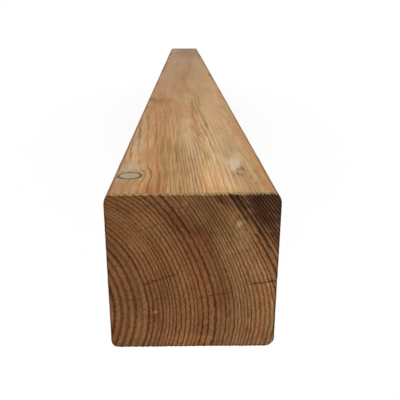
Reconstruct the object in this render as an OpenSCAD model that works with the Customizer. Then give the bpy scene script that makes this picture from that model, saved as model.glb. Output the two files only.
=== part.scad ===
// Treated fence post: one length of square-planed softwood, lying on one of its faces.
// The length runs along Y, with the foot at -Y and the head at +Y. The origin is under
// the middle of the post, on the level that it rests on.

/* [Post] */
// Length from foot to head, as sold
post_length = 1800; // [600:50:3600]
// Width of the section, across X
post_width = 100; // [70:1:200]
// Height of the section as the post lies, across Z
post_height = 100; // [70:1:200]

/* [Eased arrises] */
// Radius of the two upper arrises
upper_arris_r = 6.5; // [3:0.5:20]
// Radius of the lower arris on the +X side
lower_arris_r = 6; // [3:0.5:20]
// Radius of the lower arris on the -X side, which the planer barely reached
tight_arris_r = 4.5; // [3:0.5:20]

/* [Hidden] */
// Smoothness of the rounded arrises
$fn = 96;
wood_brown = [0.63, 0.45, 0.29];
// How far a cutter runs past the wood that it cuts
overcut = 1;

// The sawn blank, before its long edges are eased.
module blank() {
    translate([-post_width / 2, -post_length / 2, 0])
        cube([post_width, post_length, post_height]);
}

// What a quarter-round cutter takes off a square edge that runs along Y. The edge lies on the
// Y axis and the wood fills +X and +Z.
module arris_waste(radius) {
    run = post_length + 2 * overcut;
    difference() {
        translate([-overcut, -run / 2, -overcut])
            cube([radius + overcut, run, radius + overcut]);
        translate([radius, 0, radius])
            rotate([90, 0, 0])
                cylinder(h = run + 2 * overcut, r = radius, center = true);
    }
}

module post() {
    color(wood_brown)
        difference() {
            blank();
            translate([-post_width / 2, 0, 0]) arris_waste(tight_arris_r);
            translate([post_width / 2, 0, 0]) mirror([1, 0, 0]) arris_waste(lower_arris_r);
            for (side = [0, 1])
                mirror([side, 0, 0])
                    translate([-post_width / 2, 0, post_height])
                        mirror([0, 0, 1])
                            arris_waste(upper_arris_r);
        }
}

post();
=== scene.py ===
"""Treated fence post: the finish of one sawn and planed softwood post.

The wood is worked out as a tree grows. Rings of growth stand around a pith that lies outside the
section, branches swell them, and the post is what the saw cut out of that trunk. The mesh carries the
rings as attributes, so that the relief, the end grain and the long grain all read the same tree.
Lengths inside this file are in millimetres, with `along` counted from the foot of the post.
"""

import math
from typing import NamedTuple

import bpy
import numpy as np
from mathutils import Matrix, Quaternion, Vector


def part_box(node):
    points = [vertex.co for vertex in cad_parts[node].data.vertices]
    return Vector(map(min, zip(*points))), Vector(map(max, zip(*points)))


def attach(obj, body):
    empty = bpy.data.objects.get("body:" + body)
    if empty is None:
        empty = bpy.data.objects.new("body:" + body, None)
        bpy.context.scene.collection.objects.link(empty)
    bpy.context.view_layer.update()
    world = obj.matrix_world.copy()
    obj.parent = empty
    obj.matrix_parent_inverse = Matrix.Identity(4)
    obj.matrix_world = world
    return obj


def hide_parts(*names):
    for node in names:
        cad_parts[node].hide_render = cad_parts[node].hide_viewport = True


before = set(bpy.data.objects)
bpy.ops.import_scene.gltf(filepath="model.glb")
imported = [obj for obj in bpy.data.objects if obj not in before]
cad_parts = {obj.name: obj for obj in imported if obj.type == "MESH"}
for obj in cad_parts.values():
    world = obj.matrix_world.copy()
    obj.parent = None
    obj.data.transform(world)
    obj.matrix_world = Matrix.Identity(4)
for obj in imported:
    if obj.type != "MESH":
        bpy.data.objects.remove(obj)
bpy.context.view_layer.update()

bl_info = {
    "name": "Treated fence post",
    "version": (1, 0, 0),
    "blender": (4, 5, 0),
    "location": "View3D > Sidebar > Fence post",
    "description": "Makes the wood of a treated softwood fence post, and a plain stage for it",
    "category": "Add Mesh",
}

MM = 0.001
LOW, HIGH = (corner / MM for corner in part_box("post"))
LENGTH = HIGH.y - LOW.y
WIDTH = HIGH.x - LOW.x
HEIGHT = HIGH.z - LOW.z
LEFT, RIGHT = LOW.x, HIGH.x


# --- The tree -------------------------------------------------------------------------------------

# Growth from the pith outward: how many years, and how wide each year's ring is.
GROWTH = (
    (9, 4.45), (3, 4.2), (1, 4.0), (1, 3.6), (2, 2.8), (1, 2.5), (4, 2.0), (3, 2.9), (2, 2.2),
    (1, 3.0), (1, 3.4), (1, 4.7), (1, 3.0), (3, 2.6), (5, 2.0), (4, 2.9), (2, 2.3), (2, 4.7),
    (1, 3.4), (3, 2.5), (12, 3.1), (18, 2.8),
)
# Where the pith passes the foot of the post, from the middle of the section's width and from below.
PITH = (-85.7, 25.6)
# The trunk leans out of the post's line by this much in all, most of it near the foot.
SWEEP = 42.0
SWEEP_REACH = 1000.0
# The radius at which the dark heartwood ends, half the width of its edge, and how far that wanders.
HEARTWOOD, HEARTWOOD_EDGE, HEARTWOOD_WANDER = 106.0, 10, 26.0
# Where the years are counted from, which settles the years whose lines are strong.
FIRST_YEAR = 2260
# The size at which the rings' bow is stated, in each direction.
BOW_SIZE = 50.0
# How far across the section the rays have to go to spread apart by a factor of e.
RAY_SPREAD = 82.0


class Knot(NamedTuple):
    """A branch, where it leaves the wood."""

    leaves: tuple     # across, along, up
    heading: tuple    # the way it grows
    radius: float
    swell: float      # how far it lifts the rings beside it


KNOTS = (
    Knot((-38.2, 35.2, HEIGHT), (0.12, 0.05, 1.0), 6.9, 3.2),
    Knot((RIGHT, 402, 33), (1.0, 0.35, 0.1), 9.0, 5.0),
    Knot((RIGHT, 806, 71), (1.0, 0.3, 0.4), 6.5, 4.0),
    Knot((6, 1012, 0), (0.8, 0.4, -0.7), 6.0, 3.0),
    Knot((RIGHT, 1205, 52), (1.0, 0.35, 0.2), 10.0, 5.5),
    Knot((LEFT, 655, 58), (1.0, 0.35, 0.4), 8.0, 4.0),
    Knot((RIGHT, 1590, 22), (1.0, 0.3, -0.1), 8.5, 5.0),
    Knot((LEFT, 1420, 30), (1.0, 0.3, 0.1), 6.0, 3.5),
)
# How pointed the eye of a cut branch is: 2 is an ellipse, 1 a diamond.
EYE = 1.9
# How deep a branch's wood goes, and how far it lifts the rings, in its own radii.
KNOT_DEPTH = 6.0
KNOT_LIFT = 2.3


def smooth_step(low, high, value):
    """0 below low, 1 above high, and an even curve between."""
    t = np.clip((value - low) / (high - low), 0, 1)
    return t * t * (3 - 2 * t)


def ripple(places, scale, seed, waves=9):
    """Soft unevenness between about -1 and 1. Scale is the size of its lumps across X, Y and Z."""
    random = np.random.default_rng(seed)
    total = np.zeros(len(places))
    for _ in range(waves):
        direction = random.normal(size=3)
        pitch = random.uniform(0.6, 1.5)
        phase = random.uniform(0, 2 * math.pi)
        total += np.sin(places / scale @ direction * pitch + phase)
    return total / math.sqrt(waves)


def knot_ways(knot):
    """A branch's three ways: across it, nearly along the post and aside, and down into the wood.

    Each is as long as one over how far the branch goes that way."""
    axis = Vector(knot.heading).normalized()
    first = (Vector((0, 1, 0)) - axis * axis.y).normalized()
    return first / knot.radius, axis.cross(first) / knot.radius, axis / (KNOT_DEPTH * knot.radius)


def off_knot(places, knot):
    """How far each place lies from the middle of the branch: 1 at its bark."""
    rel = places - knot.leaves
    return sum(np.abs(rel @ np.array(way)) ** EYE for way in knot_ways(knot)) ** (1 / EYE)


class Wood(NamedTuple):
    """What the tree has at each place."""

    ring: np.ndarray      # the year, with the part of the year as a fraction
    radius: np.ndarray    # distance from the pith as the rings count it, at the pith's level
    around: np.ndarray    # the same along each ray, in millimetres at the middle of the section


def bulge(places):
    """A swelling of the trunk under the upper face, which draws the rings there into long arches."""
    across, along, up = places.T
    share = np.exp(-((across - 7) / 10) ** 2 - ((up - HEIGHT) / 45) ** 2)
    return 5.0 * share * smooth_step(110, 215, along) * smooth_step(900, 350, along)


def grow(places):
    """The wood at each place, which is (across, along, up)."""
    across, along, up = places.T
    drift = SWEEP * (1 - np.exp(-along / SWEEP_REACH))
    rise, aside = (up - PITH[1]) / BOW_SIZE, across / BOW_SIZE
    # How far each ring bulges past an even line, as the foot's end shows it.
    bow = rise ** 2 * (0.306 - 0.035 * rise - 0.051 * aside + 0.123 * aside ** 2)
    bow += 0.05 * rise + rise ** 4 * aside * (0.021 + 0.018 * aside)
    radius = across - PITH[0] + drift + BOW_SIZE * (bow + 0.047 * rise * aside)
    # The rings wander more away from the foot.
    loose = smooth_step(-60, 260, along)
    radius += 0.4 * loose * ripple(places, (14, 90, 14), 3)
    radius += 0.9 * loose * ripple(places, (45, 260, 45), 4)
    radius += bulge(places)
    for knot in KNOTS:
        radius -= knot.swell * np.exp(-((off_knot(places, knot) / KNOT_LIFT) ** 2))
    years = FIRST_YEAR + np.cumsum([0] + [count for count, _ in GROWTH])
    radii = np.cumsum([0] + [count * width for count, width in GROWTH])
    ring = np.interp(radius, radii, years)
    return Wood(ring, radius, (up - PITH[1]) * np.exp(-across / RAY_SPREAD))


def latewood(ring):
    """How hard and dark the wood is: each ring ends in a hard band, and the next starts soft."""
    part = ring % 1
    return smooth_step(0.45, 0.85, part) * (1 - smooth_step(0.95, 1.0, part))


# --- Stains and drying checks ---------------------------------------------------------------------

# The distances from the pith that a patch keeps to when it keeps to none.
ANY_RING = (-1e3, 1e3)
# How soft the edge of a patch is where it ends at a ring, and how far a patch of an end goes in.
BAND_EDGE = 0.9
FOOT_DEPTH = 40
# Where a patch begins to fade and where it has gone, as shares of its reach.
PATCH_FADE = (0.35, 1.35)


class Patch(NamedTuple):
    """A soft-edged patch of the surface."""

    place: tuple    # across, along, up
    reach: tuple    # half its size each way
    tint: object    # what its colour is multiplied by: red, green and blue, or one number for all
    clear: float = 1.0    # how clearly the rings show in it: below 1 is fainter, above 1 stronger
    band: tuple = ANY_RING    # the distances from the pith between which it stays


def on_top(across, along, half_width, half_length, tint, clear=1.0, depth=14):
    """A patch of the upper face. Depth is how far down the long faces beside it reaches."""
    return Patch((across, along, HEIGHT), (half_width, half_length, depth), tint, clear)


def on_foot(across, up, half_width, half_height, tint, clear=1.0, band=ANY_RING):
    """A patch of the foot's end."""
    return Patch((across, 0, up), (half_width, FOOT_DEPTH, half_height), tint, clear, band)


SIDE_PATCHES = (
    # The first 60 mm, with the branch, the bruised spot and bare streaks.
    on_top(16, 3, 6, 6, (0.9, 0.86, 0.77)),
    on_top(39, 3, 12, 7, (0.86, 0.83, 0.72)),
    on_top(-22, 8, 7, 32, (0.82, 0.66, 0.5)),
    on_top(30, 8, 20, 28, (0.99, 0.95, 0.92), 0.78),
    on_top(-40, 9, 10, 12, (0.9, 0.85, 0.92), 0.3),
    on_top(-32, 9, 3, 6, (1.16, 1.16, 1.34), depth=8),
    on_top(-4, 14, 13, 50, (0.93, 0.9, 0.83), 1.03),
    on_top(27, 16, 4, 13, 1.1),
    on_top(-38, 20, 9, 8, (0.86, 0.86, 0.92), 0.5),
    on_top(-20, 20, 8, 90, (0.92, 0.85, 0.77)),
    on_top(39, 20, 9, 44, (0.86, 0.84, 0.84)),
    on_top(-31, 22, 4, 18, (1.1, 1.12, 1.02)),
    on_top(-3.5, 22, 3, 28, (0.97, 0.95, 0.88)),
    on_top(39, 26, 5, 34, (0.89, 0.78, 0.61)),
    on_top(20, 30, 7, 28, (0.98, 1.0, 1.08)),
    on_top(46, 30, 6, 70, (1.06, 0.94, 0.74)),
    on_top(30, 35, 9, 30, (0.92, 0.88, 0.86), 0.85),
    on_top(14.5, 36, 3.5, 30, (1.06, 1.09, 1.16)),
    on_top(17, 40, 9, 130, (1.26, 1.3, 1.3), 0.9),
    on_top(-22, 50, 4, 14, (1.09, 1.09, 1.06)),
    on_top(2.5, 50, 2.5, 16, (1.07, 1.07, 1.05)),
    on_top(-46, 52, 4, 15, (0.92, 0.9, 0.88)),
    on_top(-39, 53, 8.5, 14, (1.06, 1.28, 1.78), 0.2),
    on_top(-32.5, 57, 4, 11, (1.17, 1.27, 1.27)),
    on_top(29.2, 59, 5.2, 17, (1.24, 1.58, 2.3), 0.5, depth=10),
    # Up to 180 mm: bare streaks and thin brown lines.
    on_top(-9, 75, 7, 38, (1.02, 1.0, 0.92)),
    on_top(-38.5, 76, 3.2, 26, (1.1, 1.36, 1.48), 0.5, depth=12),
    on_top(-36, 76, 1.2, 26, (1.1, 1.24, 1.2), 0.6, depth=12),
    on_top(33, 80, 3.4, 20, (1.14, 1.27, 1.58), 0.6, depth=10),
    on_top(43, 80, 7, 150, (0.99, 0.86, 0.77), 0.88),
    Patch((49, 83, 97), (2.2, 7, 5), (0.62, 0.52, 0.54)),
    on_top(-30, 84, 8, 40, (1.04, 0.98, 0.94), 0.4),
    on_top(-6, 85, 5.5, 62, (0.84, 0.8, 0.8)),
    on_top(9, 92, 3.5, 34, (0.92, 0.92, 0.91)),
    on_top(-39.5, 95, 4, 38, (0.97, 1.02, 1.18)),
    on_top(-27, 95, 4, 34, (0.97, 0.97, 0.95)),
    on_top(-19, 96, 11, 50, (0.95, 0.96, 0.96)),
    on_top(0, 96, 11, 50, (0.94, 0.96, 0.96)),
    on_top(22, 100, 12, 46, (0.92, 0.95, 0.96), 0.82),
    on_top(-9.5, 110, 1.5, 60, (0.88, 0.78, 0.72), depth=12),
    on_top(-39, 116, 4.4, 40, (1.1, 1.34, 1.42), 0.5, depth=12),
    on_top(-21, 130, 1.3, 55, (0.9, 0.8, 0.74), depth=12),
    on_top(-3, 148, 5, 24, (1.16, 1.34, 1.42), 0.3, depth=10),
    on_top(-41, 170, 8, 110, (0.93, 0.98, 1.14)),
    # Up to 300 mm.
    on_top(-2, 200, 6, 40, (1.01, 1.1, 1.28)),
    on_top(-2, 222, 5, 26, (1.14, 1.34, 1.24), 0.3, depth=10),
    on_top(8.5, 225, 3, 16, (0.88, 0.87, 0.86)),
    on_top(-39, 240, 9, 110, (0.99, 1.01, 1.09)),
    on_top(-38, 240, 9, 130, 1.0, 0.75),
    on_top(-22, 240, 6, 50, 0.9),
    on_top(-20, 250, 26, 150, (0.96, 0.87, 0.79), 0.72, depth=16),
    on_top(-26, 275, 7, 44, 0.9),
    # Up to 700 mm, with a brown stain across the left arris.
    on_top(9, 310, 9, 120, 1.0, 0.5),
    on_top(26, 330, 13, 120, (1.1, 1.12, 1.13), 0.12, depth=30),
    on_top(33, 330, 9, 140, (0.98, 0.99, 1.09), 0.85),
    on_top(45, 340, 7, 190, (0.95, 0.86, 0.76)),
    on_top(-42, 350, 10, 42, (0.95, 0.89, 0.87), 0.8, depth=20),
    on_top(-28, 350, 9, 32, (0.95, 0.89, 0.86), 0.8, depth=20),
    on_top(-23, 350, 2.4, 22, (0.9, 0.83, 0.78), 0.8, depth=20),
    on_top(-36.5, 364, 3, 20, (0.88, 0.8, 0.74), 0.6, depth=20),
    on_top(-31, 368, 3.6, 19, (0.76, 0.68, 0.58), 0.6, depth=20),
    on_top(-42.5, 374, 4, 17, (0.73, 0.66, 0.56), 0.6, depth=20),
    on_top(36, 385, 3.5, 130, (1.06, 1.06, 1.09)),
    on_top(-11, 400, 7, 44, 0.92),
    on_top(-35, 402, 6, 36, (0.93, 0.93, 0.94), depth=20),
    on_top(-33, 425, 8, 34, (0.93, 0.92, 0.91)),
    on_top(-10, 447, 5, 13, (0.84, 0.87, 0.8)),
    on_top(-28, 480, 24, 110, (0.97, 0.93, 0.96), 0.25),
    on_top(40, 500, 12, 200, 1.0, 0.25),
    on_top(8, 535, 9, 70, (1.15, 1.14, 1.11)),
    on_top(32, 535, 7, 34, (1.08, 1.08, 1.12)),
    on_top(21, 560, 4, 50, (0.97, 0.96, 0.95)),
    on_top(-4, 600, 22, 330, (0.92, 0.87, 0.82), 0.5),
    on_top(40, 600, 10, 260, (1.1, 1.08, 1.04)),
    on_top(20, 640, 18, 130, (1.07, 1.08, 1.04)),
    on_top(-44, 650, 9, 75, 0.96),
    on_top(0, 650, 70, 75, 0.97),
    # The rest: worn arrises, painted shade on the upper arrises, uneven treatment and the weathered
    # head.
    on_top(-46, 950, 7, 400, (0.97, 0.95, 0.91)),
    on_top(46, 950, 9, 500, (1.0, 0.96, 0.82)),
    on_top(34, 1000, 13, 260, (1.05, 1.08, 1.02)),
    on_top(0, 1150, 70, 600, 0.96),
    on_top(0, 1300, 140, 820, (0.82, 0.81, 0.89), 0.18),
    # Painted shade: dark lines along the outer sides of both upper arrises.
    on_top(RIGHT, 1300, 6, 800, (0.46, 0.46, 0.48), depth=6),
    on_top(LEFT, 1400, 6, 900, (0.46, 0.46, 0.48), depth=6),
    on_top(-17, 1430, 16, 90, (0.88, 0.9, 0.98)),
    on_top(46, 1480, 10, 330, 0.79),
    on_top(6, 1500, 40, 330, (0.8, 0.79, 0.78)),
    on_top(-47, 1600, 8, 170, (0.9, 0.9, 0.86)),
    on_top(10, 1600, 16, 130, (0.86, 0.89, 0.88)),
    on_top(0, 1650, 90, 200, (0.96, 0.98, 1.06), depth=30),
    on_top(0, LENGTH, 90, 95, (0.58, 0.64, 0.78), depth=30),
    on_top(0, LENGTH, 90, 60, (0.86, 0.94, 0.96), depth=30),
)
END_PATCHES = (
    # The dark upper corner, ring by ring.
    on_foot(27, 98, 18, 9, (0.78, 0.74, 0.71), 1.2),
    on_foot(17, 97, 9, 7, (0.6, 0.56, 0.52), 1.4, (129, 135.5)),
    on_foot(27, 94, 11, 13, (0.46, 0.43, 0.41), 1.8, (140.5, 149)),
    on_foot(38.5, 79, 7, 14, (0.55, 0.51, 0.49), 1.7, (143.5, 149.5)),
    on_foot(42, 91, 13, 18, (0.45, 0.4, 0.37), 2.4, (149.5, 1e3)),
    on_foot(37, 91, 8, 15, (0.72, 0.66, 0.62), 1.0, (150, 167)),
    on_foot(48.5, 75, 6, 13, (0.6, 0.57, 0.56), 1.4, (151, 1e3)),
    # Crushed and bare fibre below that corner.
    on_foot(26.2, 80.5, 2.3, 2.6, (2.5, 3.2, 4.3), 0.3),
    on_foot(23.4, 84.8, 2.6, 3.6, (1.2, 1.3, 1.26), 0.5),
    on_foot(30, 75, 4.5, 8, (1.18, 1.28, 1.34), 0.6),
    # Uneven treatment.
    on_foot(24, 68, 9, 15, (1.1, 1.18, 1.12)),
    on_foot(44, 40, 10, 44, 1.18),
    on_foot(30, 14, 16, 24, (1.02, 1.03, 1.03), 0.92),
    on_foot(-38, 24, 14, 34, (1.01, 1.01, 1.0), 0.93),
    on_foot(-49, 9, 4, 11, (0.84, 0.78, 0.76)),
    on_foot(-6, 82, 9, 9, (0.8, 0.71, 0.62)),
    on_foot(4, 66, 10, 16, (0.88, 0.77, 0.64)),
    on_foot(0, 36, 16, 34, (1.06, 1.05, 1.03), 0.9),
    on_foot(-40, 84, 16, 18, (1.02, 1.02, 0.98), 0.72),
    on_foot(-30, 72, 12, 8, (1.12, 1.14, 1.1), 0.7),
    on_foot(0, HEIGHT, 60, 6, (0.86, 0.82, 0.74)),
    on_foot(-22.4, 24.8, 1.4, 1.1, (3.6, 5.6, 9.0), 0.2),
    on_foot(3, 86, 19, 11, (0.85, 0.84, 0.78)),
    on_foot(10, 72, 8, 14, (0.87, 0.87, 0.88)),
    on_foot(-15, 90.5, 37, 4, 0.85),
    on_foot(2, 60, 3, 5, (1.15, 1.15, 1.16)),
    on_foot(25.5, 78, 3, 10, (0.91, 0.9, 0.89)),
    on_foot(46, 66, 5, 12, (0.89, 0.86, 0.81)),
    on_foot(-21, 54, 8, 13, (1.15, 1.13, 1.04)),
    on_foot(-9, 38, 7, 24, (1.06, 1.04, 0.99)),
    on_foot(4, 32, 5, 18, (0.94, 0.93, 0.92)),
    on_foot(-47, 16, 5, 13, (1.18, 1.17, 1.15)),
    on_foot(-46.5, 67, 4, 12, (0.8, 0.79, 0.77)),
    on_foot(-6, 4, 14, 6, (1.42, 1.43, 1.47)),
    on_foot(37, 4, 9, 6, (1.2, 1.21, 1.24)),
    on_foot(-34, 78, 9, 5, 1.07),
    on_foot(26, 52, 4, 9, (1.09, 1.09, 1.08)),
    on_foot(24, 22, 5, 14, (0.94, 0.93, 0.92)),
)


class Streak(NamedTuple):
    """A dark or pale line of figured grain in the upper face, given where it runs."""

    path: tuple     # (along, across) from its near end to its far end
    width: float
    tint: object    # as a patch's


DARK_GRAIN = (0.74, 0.70, 0.60)
PALE_GRAIN = (1.10, 1.14, 1.20)
STREAKS = (
    Streak(((198, 7.2), (224, 6.3), (248, 5.8), (312, 5.0), (333, 5.7), (371, 5.5)), 1.4, DARK_GRAIN),
    Streak(((192, 17.0), (215, 15.2), (245, 14.7), (292, 12.7), (330, 10.0), (404, 9.7)), 1.4,
           DARK_GRAIN),
    Streak(((248, 10.2), (274, 9.5), (298, 7.5), (318, 6.0)), 1.2, DARK_GRAIN),
    Streak(((318, 13.4), (342, 14.0), (371, 14.0), (404, 13.2)), 1.3, DARK_GRAIN),
    Streak(((192, 16.4), (226, 14.6)), 1.9, (0.90, 0.88, 0.85)),
    Streak(((152, 7.4), (174, 5.4), (200, 2.8)), 1.8, DARK_GRAIN),
    Streak(((154, 13.6), (184, 12.0)), 1.3, (0.80, 0.77, 0.70)),
    Streak(((72, 11.7), (103, 8.3), (147, 3.9)), 1.0, DARK_GRAIN),
    Streak(((330, 7.8), (400, 7.6)), 1.1, PALE_GRAIN),
    Streak(((330, 11.8), (385, 11.8)), 1.0, PALE_GRAIN),
    Streak(((240, 8.6), (262, 7.6), (290, 6.8)), 1.1, PALE_GRAIN),
    Streak(((450, 3.0), (523, -1.0), (600, -5.0), (690, -4.0), (780, 8.0), (850, 11.0),
            (930, 11.5), (1104, 13.0), (1300, 10.0), (1500, 8.0)), 3.6, (0.87, 0.85, 0.85)),
    Streak(((455, 30.0), (511, 18.0), (560, 5.5)), 1.8, (0.86, 0.85, 0.82)),
    Streak(((470, -21.0), (535, -16.5), (600, -21.5)), 1.3, (0.89, 0.87, 0.84)),
    Streak(((480, -17.0), (535, -12.8), (600, -17.5)), 1.2, 1.07),
    Streak(((300, 41.0), (345, 32.0), (362, 25.0)), 2.0, (0.84, 0.82, 0.82)),
    Streak(((45.5, 33.1), (53, 32.3)), 0.8, (0.26, 0.23, 0.21)),
    Streak(((45, 30.5), (50.5, 30.2)), 0.8, (0.36, 0.34, 0.28)),
    Streak(((35, 29.6), (42.5, 28.9)), 1.1, (0.50, 0.42, 0.38)),
    Streak(((28, 27.4), (48, 25.4)), 0.6, (0.56, 0.50, 0.46)),
    Streak(((16, 28.8), (43, 26.9)), 0.6, (1.14, 1.20, 1.24)),
    Streak(((53, 25.2), (59, 24.8)), 0.8, (0.58, 0.54, 0.54)),
    Streak(((40, 40.5), (45.5, 40.1)), 1.0, (0.66, 0.58, 0.50)),
    Streak(((28.5, 36.8), (34.5, 36.4)), 0.9, (0.60, 0.52, 0.42)),
    Streak(((32, 31.4), (37.5, 31.2)), 0.8, (0.58, 0.48, 0.40)),
    Streak(((38.5, 35.0), (43.5, 34.8)), 0.9, (0.74, 0.68, 0.60)),
    Streak(((51.5, 43.8), (56.5, 43.5)), 0.9, (0.76, 0.68, 0.70)),
    Streak(((62, 38.2), (68, 37.8)), 0.9, (0.82, 0.77, 0.70)),
    Streak(((14, 38.2), (21, 37.8)), 1.0, (0.72, 0.65, 0.55)),
    Streak(((66, -40.6), (81, -41.5), (107, -43.0), (134, -44.4)), 1.3, (1.13, 1.24, 1.30)),
)


def streaked(places, streaks):
    """The tint of the figured lines at each place."""
    wander = 0.9 * ripple(places, (9, 13, 9), 23)
    tint = np.ones((len(places), 3))
    for streak in streaks:
        along, across = zip(*streak.path)
        fade = min(8.0, 0.4 * (along[-1] - along[0]))
        aside = places[:, 0] + wander - np.interp(places[:, 1], along, across)
        share = np.exp(-(aside / streak.width) ** 2) * (places[:, 2] > HEIGHT / 2)
        share *= smooth_step(along[0] - fade, along[0] + fade, places[:, 1])
        share *= smooth_step(along[-1] + 2 * fade, along[-1] - 2 * fade, places[:, 1])
        tint *= np.power(streak.tint, share[:, None])
    return tint


def patched(places, radius, patches, seed):
    """The tint at each place, and how clearly the rings show. The patches' edges are ragged."""
    wander = 0.32 * ripple(places, (5, 40, 5), seed)
    wander += 0.16 * ripple(places, (1.8, 12, 1.8), seed + 7)
    tint = np.ones((len(places), 3))
    clear = np.ones(len(places))
    for patch in patches:
        gap = (places - patch.place) / patch.reach
        ragged = wander / max(1.0, patch.reach[0] / 12)
        share = 1 - smooth_step(*PATCH_FADE, np.linalg.norm(gap, axis=1) + ragged)
        low, high = patch.band
        share *= smooth_step(low - BAND_EDGE, low + BAND_EDGE, radius)
        share *= smooth_step(high + BAND_EDGE, high - BAND_EDGE, radius)
        tint *= np.power(patch.tint, share[:, None])
        clear *= patch.clear ** share
    return tint, clear


class Check(NamedTuple):
    """A crack that drying opened along a ray. It runs between two points of the section."""

    start: tuple    # across, up
    end: tuple
    width: float
    depth: float    # how far it goes in from the end of the post
    head: bool = False    # whether it is in the head's end


CHECKS = (
    Check((33.0, 42.4), (58.0, 45.4), 0.45, 70.0),
    Check((-30.5, 42.2), (-8.0, 50.3), 0.38, 14.0),
    Check((8.5, 35.2), (27.0, 37.6), 0.22, 6.0),
    Check((-48.0, 33.2), (-29.0, 33.0), 0.20, 6.0),
    Check((-7.1, 54.6), (8.0, 60.4), 0.18, 4.0),
    Check((10.0, 60.4), (24.0, 62.4), 0.14, 4.0),
    Check((22.0, 61.6), (36.0, 65.8), 0.16, 4.0),
    Check((-22.3, 33.0), (-8.2, 34.2), 0.13, 3.0),
    Check((-0.2, 33.2), (12.0, 34.4), 0.15, 3.0),
    Check((-33.6, 76.4), (-19.0, 80.6), 0.12, 3.0),
    Check((27.5, 83.6), (38.0, 87.2), 0.20, 3.0),
    Check((6.0, 74.6), (16.0, 76.4), 0.11, 2.0),
    Check((22.0, 61.0), (50.5, 68.0), 0.5, 110.0, True),
    Check((-31.0, 29.5), (2.0, 31.0), 0.3, 20.0, True),
    Check((-6.0, 8.0), (20.0, 4.0), 0.2, 8.0, True),
)
# How far a check steps aside at each ring that it crosses, and the share of its run in which it opens.
CHECK_STEP = 0.9
CHECK_TAPER = 0.18


def from_end(places, check):
    if check.head:
        return places * (1, -1, 1) + (0, LENGTH, 0)
    return places


def off_check(places, ring, check):
    """How far each place lies to the side of the crack's line, and how open the crack is there."""
    start, end = np.array(check.start), np.array(check.end)
    run = end - start
    length = np.linalg.norm(run)
    run /= length
    near = from_end(places, check)
    rel = near[:, [0, 2]] - start
    forward = rel @ run
    side = rel @ np.array([-run[1], run[0]]) + CHECK_STEP * (ring % 1 - 0.5)
    taper = np.clip(np.minimum(forward, length - forward) / (CHECK_TAPER * length), 0, 1)
    deep = np.clip(1 - near[:, 1] / check.depth, 0, 1)
    return side, taper * deep


# --- The mesh -------------------------------------------------------------------------------------

# Cells across the section, up it, and round half an arris.
ACROSS, UP, ARRIS = 124, 76, 5
# The longest step between two stations along the post, the step where the upper face's grain is
# figured, the step at a knot, and the step where that face is bruised.
LONG_STEP, FIGURE_STEP, KNOT_STEP, BRUISE_STEP = 24.0, 9.0, 5.0, 2.6
FIGURED = 430.0
BRUISED = (24.0, 60.0)
# The first step at an end, the least step, how much a step grows for each millimetre away from an
# end or a branch, and how far from a branch's middle it begins to.
END_STEP, LEAST_STEP, STEP_GROWTH, KNOT_REACH = 0.6, 0.4, 0.35, 11


def outline(radii):
    """The section's outline, anticlockwise from the middle of the lower left arris, and the way out.

    Radii are those of the lower left, lower right, upper right and upper left arrises."""
    corners = np.array([(LEFT, 0), (RIGHT, 0), (RIGHT, HEIGHT), (LEFT, HEIGHT)])
    inward = np.array([(1, 1), (-1, 1), (-1, -1), (1, -1)])
    radii = np.array(radii)[:, None]
    centres = corners + inward * radii
    points, ways = [], []
    for side, cells in enumerate((ACROSS, UP, ACROSS, UP)):
        # Half of the arris behind, the flat, and half of the arris ahead.
        following = (side + 1) % 4
        square = math.radians(90 * side - 90)
        bend = math.radians(45) * np.arange(ARRIS) / ARRIS
        flat = np.arange(cells - 2 * ARRIS) / (cells - 2 * ARRIS)
        turn = np.concatenate([bend - math.radians(45), np.zeros(len(flat)), bend])
        share = np.concatenate([np.zeros(ARRIS), flat, np.ones(ARRIS)])[:, None]
        way = np.column_stack([np.cos(square + turn), np.sin(square + turn)])
        centre = centres[side] * (1 - share) + centres[following] * share
        points.append(centre + way * (radii[side] * (1 - share) + radii[following] * share))
        ways.append(way)
    return np.vstack(points), np.vstack(ways)


def stations():
    """Distances from the foot at which the section is repeated, closer at the knots and the ends."""
    along, places = 0.0, []
    while along < LENGTH - LEAST_STEP:
        places.append(along)
        step = min(FIGURE_STEP if along < FIGURED else LONG_STEP,
                   END_STEP + STEP_GROWTH * min(along, LENGTH - along))
        for knot in KNOTS:
            beyond = max(0.0, abs(along - knot.leaves[1]) - KNOT_REACH)
            step = min(step, KNOT_STEP + STEP_GROWTH * beyond)
        if BRUISED[0] < along < BRUISED[1]:
            step = min(step, BRUISE_STEP)
        along += step
    return np.array(places + [LENGTH])


def four_edges(rim):
    """The rim's bottom, right, top and left, each with both corners, to the right and upward."""
    around = np.concatenate([rim, rim[:1]])
    half = ACROSS + UP
    return (around[:ACROSS + 1], around[ACROSS:half + 1], around[half:half + ACROSS + 1][::-1],
            around[half + ACROSS:][::-1])


def end_grid(rim):
    """The points of an end face, spread between its four edges. Rim is the outline's points."""
    bottom, right, top, left = four_edges(rim)
    s = np.linspace(0, 1, ACROSS + 1)[:, None, None]
    t = np.linspace(0, 1, UP + 1)[None, :, None]
    return ((1 - t) * bottom[:, None] + t * top[:, None] + (1 - s) * left[None] + s * right[None]
            - (1 - s) * (1 - t) * bottom[0] - s * (1 - t) * bottom[-1]
            - (1 - s) * t * top[0] - s * t * top[-1])


def end_numbers(first_rim, first_inner):
    """Vertex numbers of an end face's grid: the rim's on its four edges, new ones inside."""
    numbers = np.zeros((ACROSS + 1, UP + 1), int)
    numbers[1:-1, 1:-1] = first_inner + np.arange((ACROSS - 1) * (UP - 1)).reshape(ACROSS - 1, -1)
    rim = first_rim + np.arange(2 * (ACROSS + UP))
    numbers[:, 0], numbers[-1], numbers[:, -1], numbers[0] = four_edges(rim)
    return numbers


def quads(numbers):
    """The faces of a grid of vertex numbers, wound so that they face along rows x columns."""
    return np.stack([numbers[:-1, :-1], numbers[1:, :-1], numbers[1:, 1:], numbers[:-1, 1:]],
                    axis=-1).reshape(-1, 4)


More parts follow.
